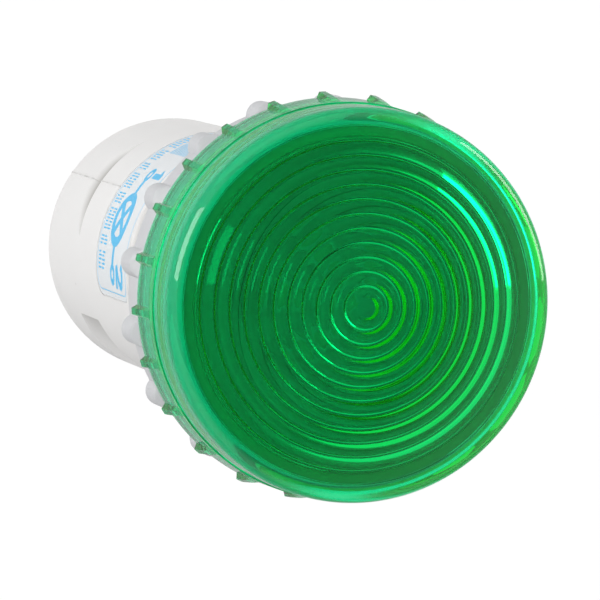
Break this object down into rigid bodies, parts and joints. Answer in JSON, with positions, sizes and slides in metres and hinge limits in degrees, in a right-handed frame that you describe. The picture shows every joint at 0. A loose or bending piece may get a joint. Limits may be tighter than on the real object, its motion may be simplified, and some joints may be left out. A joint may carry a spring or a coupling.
{
  "type": "panel pilot light",
  "caption": "Round panel pilot light: ridged green screw-on lens, white tail with threaded neck, lobed lock nut and screw terminals at the rear.",
  "frame": {"origin": "middle of the rear end face, on which the light stands", "axes": "+Z along the axis from the terminals to the lens; the wire notches face +X and -X"},
  "size_m": [0.0308, 0.0308, 0.0582],
  "materials": {
    "lens_green": "clear moulded, polished",
    "seal_silicone": "matt",
    "housing_white": "moulded, fine satin",
    "gasket_rubber": "matt",
    "washer_grey": "moulded satin",
    "nut_grey": "moulded satin",
    "label_film": "clear film with pale blue print",
    "block_white": "moulded satin",
    "terminal_brass": "stamped",
    "plated_steel": "zinc plated",
    "board_green": "solder mask",
    "board_white": "white solder mask",
    "lamp_resin": "moulded resin",
    "package_black": "moulded matt",
    "capacitor_sleeve": "shrunk film",
    "resistor_enamel": "enamel",
    "varistor_blue": "dipped epoxy"
  },
  "bodies": {
    "base": {"housing": "housing_white", "panel_gasket": "gasket_rubber", "rating_label": "label_film", "terminal_block": "block_white", "terminal_1": "terminal_brass", "terminal_2": "terminal_brass", "circuit_board": "board_green", "lamp_board": "board_white", "led_1": "lamp_resin", "led_2": "lamp_resin", "led_3": "lamp_resin", "led_4": "lamp_resin", "led_5": "lamp_resin", "led_6": "lamp_resin", "led_7": "lamp_resin", "bridge_rectifier": "package_black", "smoothing_capacitor": "capacitor_sleeve", "resistor_1": "resistor_enamel", "resistor_2": "resistor_enamel", "varistor": "varistor_blue"},
    "lens_carriage": {"lens_seal": "seal_silicone"},
    "lens_cap": {"lens": "lens_green"},
    "washer": {"locating_washer": "washer_grey"},
    "nut": {"lock_nut": "nut_grey"},
    "plate_1": {"clamp_plate_1": "plated_steel"},
    "plate_2": {"clamp_plate_2": "plated_steel"},
    "screw_1": {"clamp_screw_1": "plated_steel"},
    "screw_2": {"clamp_screw_2": "plated_steel"}
  },
  "joints": [
    {"name": "lens_rise", "type": "slide", "parent": "base", "child": "lens_carriage", "axis": [0, 0, 1], "range_m": [0, 0.004]},
    {"name": "lens_turn", "type": "hinge", "parent": "lens_carriage", "child": "lens_cap", "pos_m": [0, 0, 0.0539], "axis": [0, 0, 1], "range_deg": [0, 720]},
    {"name": "washer_travel", "type": "slide", "parent": "base", "child": "washer", "axis": [0, 0, -1], "range_m": [0, 0.0135]},
    {"name": "nut_turn", "type": "hinge", "parent": "washer", "child": "nut", "pos_m": [0, 0, 0.0457], "axis": [0, 0, -1], "range_deg": [0, 3240]},
    {"name": "clamp_1_travel", "type": "slide", "parent": "base", "child": "plate_1", "axis": [0, 0, 1], "range_m": [0, 0.0031]},
    {"name": "screw_1_turn", "type": "hinge", "parent": "plate_1", "child": "screw_1", "pos_m": [0.0041, 0, 0.0076], "axis": [0, 0, 1], "range_deg": [0, 2232]},
    {"name": "clamp_2_travel", "type": "slide", "parent": "base", "child": "plate_2", "axis": [0, 0, 1], "range_m": [0, 0.0031]},
    {"name": "screw_2_turn", "type": "hinge", "parent": "plate_2", "child": "screw_2", "pos_m": [-0.0041, 0, 0.0076], "axis": [0, 0, 1], "range_deg": [0, 2232]}
  ],
  "couplings": [
    {"joint": "lens_turn", "follows": "lens_rise", "rad_per_m": 3141.6},
    {"joint": "nut_turn", "follows": "washer_travel", "rad_per_m": 4188.8},
    {"joint": "screw_1_turn", "follows": "clamp_1_travel", "rad_per_m": 12566},
    {"joint": "screw_2_turn", "follows": "clamp_2_travel", "rad_per_m": 12566}
  ]
}
